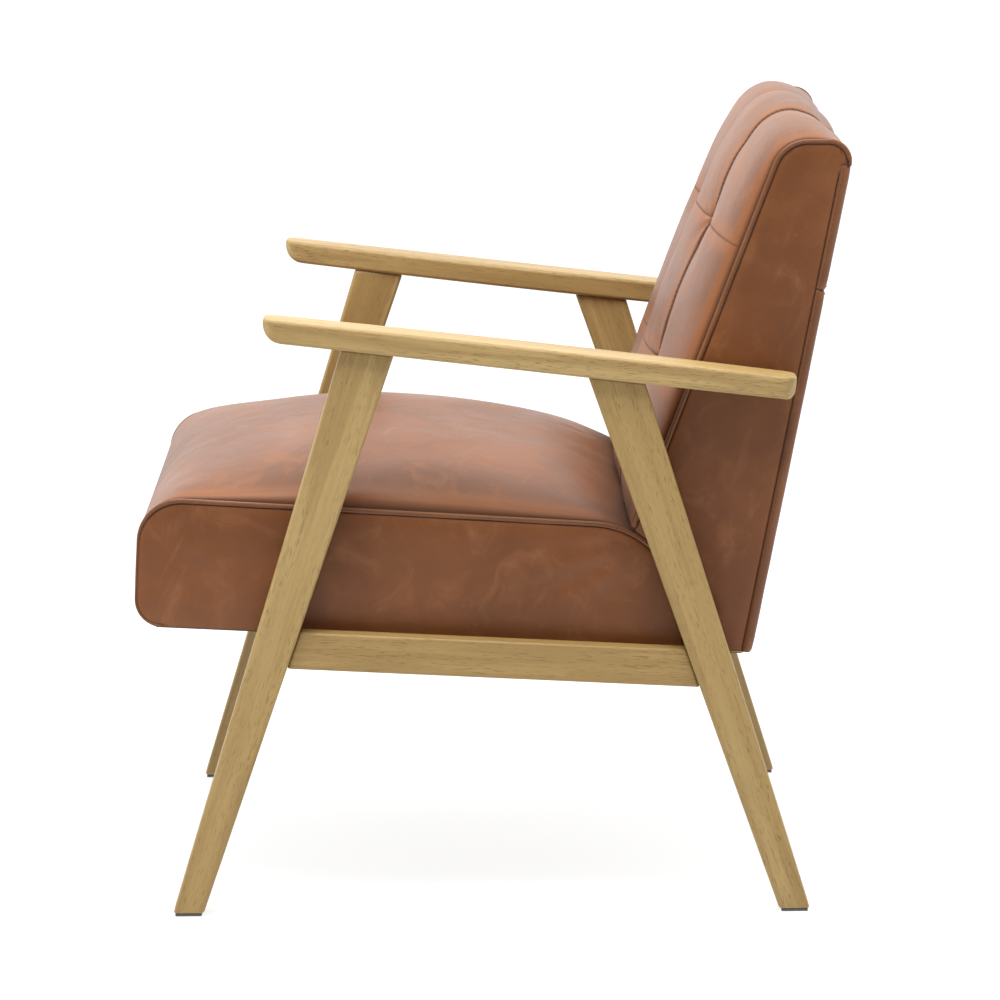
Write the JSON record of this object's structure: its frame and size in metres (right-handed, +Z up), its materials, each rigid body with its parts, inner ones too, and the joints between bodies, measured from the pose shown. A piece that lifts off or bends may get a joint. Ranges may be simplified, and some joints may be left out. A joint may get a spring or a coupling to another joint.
{
  "type": "upholstered armchair",
  "caption": "Low lounge armchair: splayed tapered wooden legs, sloping flat arms, boxed leather seat and wedge-shaped tufted leather back.",
  "frame": {"origin": "on the floor, at the middle of the chair's width and depth", "axes": "-Y is the front, the way the sitter faces; +X is the sitter's left; +Z is up"},
  "size_m": [0.656, 0.7128, 0.7946],
  "materials": {
    "oak": "oiled light oak with fine dark pores",
    "leather": "semi-matt tan leather, lightly mottled",
    "frame_wood": "bare softwood",
    "webbing": "woven jute",
    "foam": "soft upholstery foam",
    "dust_cloth": "black non-woven cloth",
    "steel": "zinc plated",
    "glide": "matt grey plastic"
  },
  "bodies": {
    "root": {"left_front_leg": "oak", "right_front_leg": "oak", "left_rear_leg": "oak", "right_rear_leg": "oak", "left_arm": "oak", "right_arm": "oak", "left_side_rail": "oak", "right_side_rail": "oak", "front_cross_rail": "oak", "rear_cross_rail": "oak", "arm_dowels": "frame_wood", "side_rail_dowels": "frame_wood", "cross_rail_dowels": "frame_wood", "left_front_glide": "glide", "right_front_glide": "glide", "left_rear_glide": "glide", "right_rear_glide": "glide", "glide_nails": "steel", "seat_bolts": "steel", "seat_bolt_washers": "steel", "seat_barrel_nuts": "steel", "seat_front_rail": "frame_wood", "seat_rear_rail": "frame_wood", "seat_left_rail": "frame_wood", "seat_right_rail": "frame_wood", "seat_corner_blocks": "frame_wood", "seat_long_webbing": "webbing", "seat_cross_webbing": "webbing", "seat_foam": "foam", "seat_top_cover": "leather", "seat_left_panel": "leather", "seat_right_panel": "leather", "seat_left_welt": "leather", "seat_right_welt": "leather", "seat_dust_cover": "dust_cloth", "back_left_board": "frame_wood", "back_right_board": "frame_wood", "back_top_rail": "frame_wood", "back_middle_rail": "frame_wood", "back_bottom_rail": "frame_wood", "back_frame_screws": "steel", "back_webbing": "webbing", "back_foam": "foam", "back_tufting_ties": "webbing", "back_inside_cover": "leather", "back_left_panel": "leather", "back_right_panel": "leather", "back_left_welt": "leather", "back_right_welt": "leather", "outside_back_upper": "leather", "outside_back_lower": "leather", "back_bottom_cloth": "dust_cloth", "back_bolts": "steel", "back_bolt_washers": "steel", "back_nuts": "steel"}
  },
  "joints": []
}
